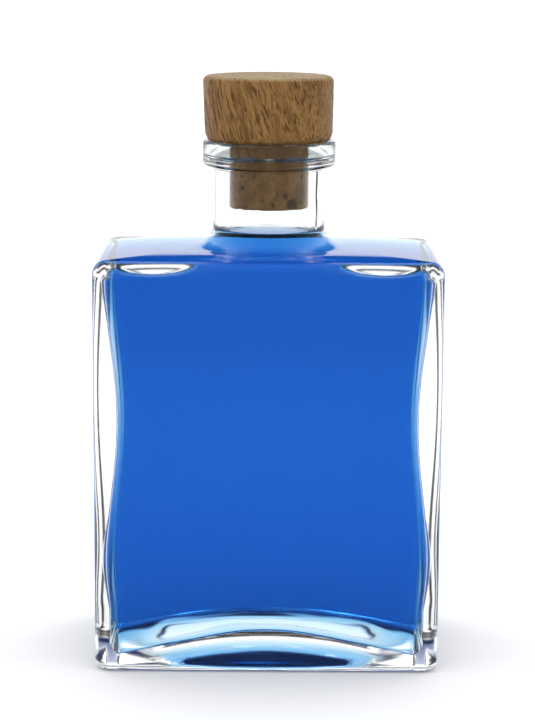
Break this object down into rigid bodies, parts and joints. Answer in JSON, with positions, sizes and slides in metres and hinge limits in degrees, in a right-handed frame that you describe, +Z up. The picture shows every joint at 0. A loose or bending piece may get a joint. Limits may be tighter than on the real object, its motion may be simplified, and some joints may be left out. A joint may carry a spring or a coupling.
{
  "type": "bar-top glass bottle",
  "caption": "Flat-sided rectangular clear glass bottle with a short round neck and ring lip, filled with blue liquid and closed by a turned wooden head on a cork shank.",
  "frame": {"origin": "centre of the base, on the surface that the bottle stands on", "axes": "+Z up along the axis of the neck, X along the width of the body, -Y towards the front face"},
  "size_m": [0.0816, 0.048, 0.1393],
  "materials": {
    "clear_glass": "gloss",
    "blue_liquid": "gloss",
    "beech": "satin",
    "natural_cork": "matte",
    "wood_glue": "satin"
  },
  "bodies": {
    "bottle": {"glass_bottle": "clear_glass", "liquid": "blue_liquid"},
    "glue": {"glue_film": "wood_glue"},
    "stopper": {"stopper_head": "beech", "cork_shank": "natural_cork"}
  },
  "joints": [
    {"name": "stopper_pull", "type": "slide", "parent": "bottle", "child": "glue", "axis": [0, 0, 1], "range_m": [0, 0.045]},
    {"name": "stopper_twist", "type": "hinge", "parent": "glue", "child": "stopper", "pos_m": [0, 0, 0.1243], "axis": [0, 0, 1], "continuous": true}
  ]
}
